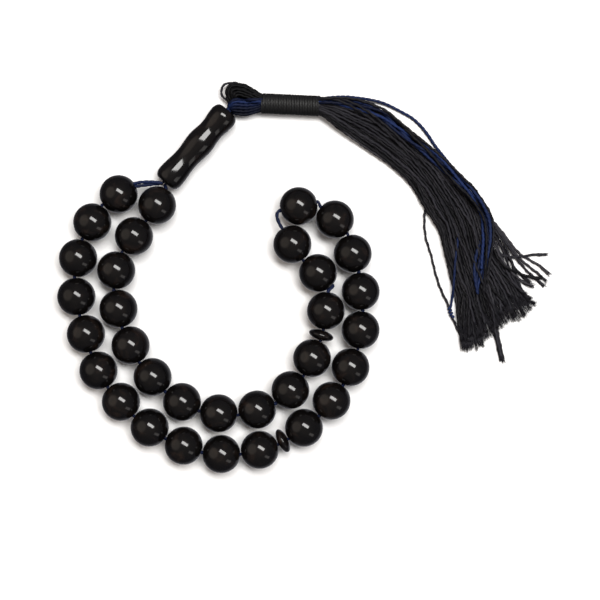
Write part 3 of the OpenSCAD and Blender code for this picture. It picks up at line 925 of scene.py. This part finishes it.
navyHead = [  # from the leader's mouth across the fold into the binding
    [[-0.3, -0.45, 3.4], [0.9, -0.75], [2.2, -1.15], [4.5, -1.25], [6.8, -0.65], [8.6, 0.0], [9.6, 0.3]],
    [[-0.35, -0.35, 4.0], [0.8, -0.2], [2.1, -0.4], [4.5, -0.5], [6.9, 0.0], [8.6, 0.6], [9.6, 0.8]],
    [[-0.3, -0.25, 3.5], [0.6, 0.3], [2.0, 0.4], [4.5, 0.25], [7.0, 0.65], [8.7, 1.15], [9.6, 1.3]],
    [[-0.3, -0.1, 4.0], [0.4, 0.85], [1.8, 1.2], [4.4, 1.05], [7.0, 1.3], [8.7, 1.6], [9.6, 1.7]],
    [[-0.35, 0.05, 3.5], [0.2, 1.2], [1.6, 2.0], [4.2, 1.85], [7.0, 1.9], [8.7, 2.05], [9.6, 2.1]],
    [[-0.4, 0.15, 3.2], [0.1, 1.5], [1.6, 2.5], [4.0, 2.42], [6.8, 2.4], [8.6, 2.5], [9.6, 2.5]],
]
# the lowest cords on the head are darkest, the upper ones lighter
navyTones = (0.0, 0.05, 0.3, 0.5, 0.85, 0.35)
headStep = 0.3 * mm
navyHeadStrands = []
for k, rows in enumerate(navyHead):
    line = evenSteps(softCurve(placed(tasselPivot, rows), 10), headStep)
    line = startAt(restOn(line, cordWidth, below, 0.15 * mm), headStep, 2.2 * mm, rows[0][2] * mm)
    run = np.arange(len(line)) * headStep
    tuck = np.clip((run - (run[-1] - 1.8 * mm)) / (1.8 * mm), 0, 1)   # into the binding
    line[:, 2] = line[:, 2] * (1 - tuck) + np.minimum(line[:, 2], navySet["startHeight"]) * tuck
    navyHeadStrands.append({"line": line, "width": cordWidth, "tone": navyTones[k], "phase": k * 1.3})
addStrands("navyHeadCords", navyHeadStrands, "cord", "tassel", ["cord_ends"])
print("head folded,", len(headStrands), "loops")

# the binding: one thread wound tightly round the neck
bindingSet = {
    "thread": 0.52 * mm, "turns": 36.5, "perTurn": 36, "uneven": 0.03 * mm, "length": 15 * mm,
    "tucked": 14,   # points at both ends where the thread dives under the wraps
}
neckRadius = (neckHigh.z - neckLow.z) / 2
neckEnd = skirtPivot - neckWay * 0.25 * mm
neckStart = neckEnd - neckWay * bindingSet["length"]
neckSide = Vector((-neckWay.y, neckWay.x, 0))
windRadius = neckRadius - bindingSet["thread"] / 2 + 0.08 * mm
windLine = []
windSteps = int(bindingSet["turns"] * bindingSet["perTurn"])
drift = smoothed(dice.normal(0, 1, windSteps + 1), 30)
for i in range(windSteps + 1):
    t = i / windSteps
    a = 2 * math.pi * bindingSet["turns"] * t
    go = -0.30 * mm + (bindingSet["length"] + 0.35 * mm) * t + bindingSet["uneven"] * math.sin(a * 0.37 + 2 * t)
    r = windRadius + 0.05 * mm * float(drift[i])
    r -= 0.9 * mm * (max(0, 1 - i / bindingSet["tucked"]) + max(0, 1 - (windSteps - i) / bindingSet["tucked"]))
    p = neckStart + neckWay * go + neckSide * math.cos(a) * r + Vector((0, 0, math.sin(a) * r))
    p.z = max(p.z + neckRadius - neckStart.z, bindingSet["thread"] / 2 + 0.01 * mm)
    windLine.append(tuple(p))
windOne = {"line": windLine, "width": bindingSet["thread"], "uneven": 0.02}
addStrands("woundBinding", [windOne], "thread", "tassel", ["binding", "neck_core"])
print("binding wound, %.0f mm of thread" % (lineLength(windLine) / mm))

# beads, discs and leader, turned on a lathe
beadSet = {  # half is the half length along the bore, lip and wall give the bore's mouth and the points inside it
    "radius": 5 * mm, "half": 5 * mm, "bore": 1.0 * mm, "rim": 0.28 * mm, "slices": 56, "arc": 26,
    "lip": ((0.45, 0.10), (0.12, 0.42), (0, 1)), "wall": (-0.6, -0.2, 0.2, 0.6), "outOfRound": 0.004,
}
discSet = {
    "radius": 3.3 * mm, "half": 1.4 * mm, "bore": 1.0 * mm, "rim": 0.12 * mm, "slices": 56, "arc": 22,
    "lip": ((0.3, 0.3), (0, 1)), "wall": (-0.4, 0.4),
}
leaderSet = {
    "length": 25.2 * mm, "lobe": 7.3 * mm, "waist": 6.4 * mm, "bore": 1.3 * mm, "rimRadius": 2.2 * mm,
    "endLength": 2.2 * mm, "swell": ((0.11, 0), (0.56, 360), (0.91, 720)), "gap": 0.5 * mm, "lip": 0.3 * mm,
    "slices": 64, "arc": 60,
}


def latheClosed(name, profile, slices):
    # profile: (radius, along) pairs going once round the cut face
    count = len(profile)
    mesh = bpy.data.meshes.new(name)
    mesh.from_pydata([(r, 0, s) for r, s in profile], [(i, (i + 1) % count) for i in range(count)], [])
    piece = addObject(name, mesh)
    pick(piece)
    bpy.ops.object.mode_set(mode="EDIT")
    bpy.ops.mesh.select_all(action="SELECT")
    bpy.ops.mesh.spin(steps=slices, angle=2 * math.pi, center=(0, 0, 0), axis=(0, 0, 1))
    bpy.ops.mesh.select_all(action="SELECT")
    bpy.ops.mesh.remove_doubles(threshold=0.000002)
    bpy.ops.object.mode_set(mode="OBJECT")
    return faceOutward(piece)


def drilledOval(one):
    # a bead's or a disc's cut face: its outside from top to bottom, then the bore with two eased mouths
    radius, half, rim, bore, arc = (one[k] for k in ("radius", "half", "rim", "bore", "arc"))
    edge = math.asin((bore + rim) / radius)
    angles = [edge + (math.pi - 2 * edge) * i / arc for i in range(arc + 1)]
    outer = [(radius * math.sin(a), half * math.cos(a)) for a in angles]
    top = outer[0][1]
    lip = [(bore + rim * aside, top - rim * down) for aside, down in one["lip"]]
    return outer + [(r, -s) for r, s in lip] + [(bore, top * k) for k in one["wall"]] + lip[::-1]


def leaderRadius(s):
    # three lobes with two waists between them, rounded off at both ends
    length, lobe, waist, rimRadius = (leaderSet[k] for k in ("length", "lobe", "waist", "rimRadius"))
    turn = np.interp(s / length, *zip(*leaderSet["swell"]))
    lobes = (lobe + waist + (lobe - waist) * math.cos(math.radians(turn))) / 4
    e = max(0, 1 - min(s, length - s) / leaderSet["endLength"])
    return rimRadius + (lobes - rimRadius) * math.sqrt(1 - e * e)


def leaderProfile():
    length, bore, lip, arc = (leaderSet[k] for k in ("length", "bore", "lip", "arc"))
    outer = [(leaderRadius(s), s) for s in (length * (1 - math.cos(math.pi * i / arc)) / 2 for i in range(arc + 1))]
    inner = [(bore + lip, length), (bore + lip * 0.3, length - lip * 0.3), (bore, length - lip)]
    inner += [(bore, length * k) for k in (0.8, 0.6, 0.4, 0.2)]
    return outer + inner + [(bore, lip), (bore + lip * 0.3, lip * 0.3), (bore + lip, 0)]


def onString(model, name, i):
    # one copy on the string, with its own mesh, a little out of round as each bead is
    piece = model.copy()
    piece.data = model.data.copy()
    piece.name = piece.data.name = name
    bpy.context.scene.collection.objects.link(piece)
    turn = ways[i].to_track_quat("Z", "Y").to_matrix().to_4x4() @ Matrix.Rotation(dice.uniform(0, 6.28), 4, "Z")
    odd = Matrix.Diagonal([1 + dice.uniform(-1, 1) * beadSet["outOfRound"] for _ in range(2)] + [1, 1])
    piece.data.transform(Matrix.Translation(centres[i]) @ turn @ odd)
    piece.data.update()
    return piece


beadModel = latheClosed("beadModel", drilledOval(beadSet), beadSet["slices"])
discModel = latheClosed("discModel", drilledOval(discSet), discSet["slices"])
for i, node in enumerate(threaded):
    model, word = (discModel, "disc") if node.startswith("divider") else (beadModel, "bead")
    piece = onString(model, word + node.split("_")[-1], i)
    finishPiece(piece, node, "bead_stone", polishedStone, [node])
bpy.data.objects.remove(beadModel)
bpy.data.objects.remove(discModel)
leaderPiece = latheClosed("leaderBead", leaderProfile(), leaderSet["slices"])
leaderPiece.data.transform(Matrix.Translation(leaderPivot + leaderWay * leaderSet["gap"])
                           @ leaderWay.to_track_quat("Z", "Y").to_matrix().to_4x4())
finishPiece(leaderPiece, "leader", "bead_stone", polishedStone, ["leader_bead"])
print("beads threaded")

# a pale floor
floorSet = {"size": 4, "low": (0.78, 0.78, 0.785), "high": (0.81, 0.81, 0.81), "rough": 0.7}
bpy.ops.mesh.primitive_plane_add(size=floorSet["size"], location=(0, 0, 0))
floor = bpy.context.active_object
floor.name = "paleFloor"
pick(floor)
bpy.ops.object.mode_set(mode="EDIT")
bpy.ops.mesh.subdivide(number_cuts=4)
bpy.ops.object.mode_set(mode="OBJECT")
floorMaterial, floorNodes, floorLinks, floorShader = newMaterial("paleFloor")
floorPlace = floorNodes.new("ShaderNodeTexCoord").outputs["Object"]
floorNoise = noise(floorNodes, floorLinks, floorPlace, 40, 3)
floorTint = ramp(floorNodes, [(0.3, floorSet["low"]), (0.7, floorSet["high"])])
floorLinks.new(floorNoise.outputs["Fac"], floorTint.inputs["Fac"])
floorLinks.new(floorTint.outputs["Color"], floorShader.inputs["Base Color"])
floorShader.inputs["Roughness"].default_value = floorSet["rough"]
floor.data.materials.append(floorMaterial)
floor.visible_glossy = False   # the polished beads mirror the room only

lights = {  # way from the beads to each light, its size, the direction of its long side, and its power
    "windowLight": {"way": (0.175, 0.262, 0.949), "long": 1.80, "short": 0.70, "longWay": (-0.84, 0.54, 0),
                    "power": 84.0, "colour": (1.0, 0.99, 0.97)},
    "farPane": {"way": (0.651, -0.605, 0.459), "long": 1.3, "short": 0.55, "longWay": (0.80, -0.50, -0.6),
                "power": 3.6, "colour": (1.0, 0.95, 0.90)},
}
lightDistance = 2.4
for name, one in lights.items():
    lampData = bpy.data.lights.new(name, "AREA")
    lampData.shape = "RECTANGLE"
    lampData.size = one["long"]
    lampData.size_y = one["short"]
    lampData.energy = one["power"]
    lampData.color = one["colour"]
    toLamp, lampLong = Vector(one["way"]).normalized(), Vector(one["longWay"])
    lampLong = (lampLong - toLamp * lampLong.dot(toLamp)).normalized()
    turn = Matrix((lampLong, toLamp.cross(lampLong), toLamp)).transposed().to_4x4()
    addObject(name, lampData).matrix_world = Matrix.Translation(toLamp * lightDistance) @ turn

roomSet = {  # brightness of the room from underfoot (0) over the horizon (0.5) to straight overhead (1)
    "left": [(0.0, (0.20, 0.20, 0.22)), (0.20, (0.11, 0.11, 0.125)), (0.32, (0.06, 0.06, 0.075)),
             (0.55, (0.13, 0.125, 0.14)), (0.81, (0.22, 0.21, 0.21)), (1.0, (0.36, 0.33, 0.32))],
    "right": [(0.0, (0.66, 0.66, 0.70)), (0.20, (0.34, 0.34, 0.37)), (0.32, (0.09, 0.09, 0.11)),
              (0.55, (0.14, 0.14, 0.17)), (0.81, (0.22, 0.22, 0.23)), (1.0, (0.36, 0.33, 0.32))],
    "aside": (-0.45, 0.6),          # where left fades into right
    "wallWay": (-0.727, 0.140, 0.672), "wall": (0.98, 0.86, 0.76), "wallEdge": (0.80, 0.95),
    "behind": (0.93, 0.93, 0.94),   # what stands behind the floor's edge
}
world = bpy.data.worlds.new("softRoom")
bpy.context.scene.world = world
world.use_nodes = True
room = (world.node_tree.nodes, world.node_tree.links)
way = room[0].new("ShaderNodeTexCoord").outputs["Generated"]
split = room[0].new("ShaderNodeSeparateXYZ")
room[1].new(way, split.inputs["Vector"])
rise = spanned(*room, split.outputs["Z"], -1, 1).outputs["Result"]
aside = spanned(*room, split.outputs["X"], *roomSet["aside"]).outputs["Result"]
sides = [ramp(room[0], roomSet[k]) for k in ("left", "right")]
for side in sides:
    room[1].new(rise, side.inputs["Fac"])
colour = mixedColour(*room, aside, sides[0].outputs["Color"], sides[1].outputs["Color"])
facing = room[0].new("ShaderNodeVectorMath")   # a lit wall on the left
facing.operation = "DOT_PRODUCT"
facing.inputs[1].default_value = Vector(roomSet["wallWay"]).normalized()
room[1].new(way, facing.inputs[0])
wall = spanned(*room, facing.outputs["Value"], *roomSet["wallEdge"])
wall.interpolation_type = "SMOOTHSTEP"
colour = mixedColour(*room, wall.outputs["Result"], colour, roomSet["wall"])
seen = room[0].new("ShaderNodeLightPath").outputs["Is Camera Ray"]
room[1].new(mixedColour(*room, seen, colour, roomSet["behind"]), room[0]["Background"].inputs["Color"])
bpy.context.scene.view_settings.view_transform = "Standard"
print("lit")
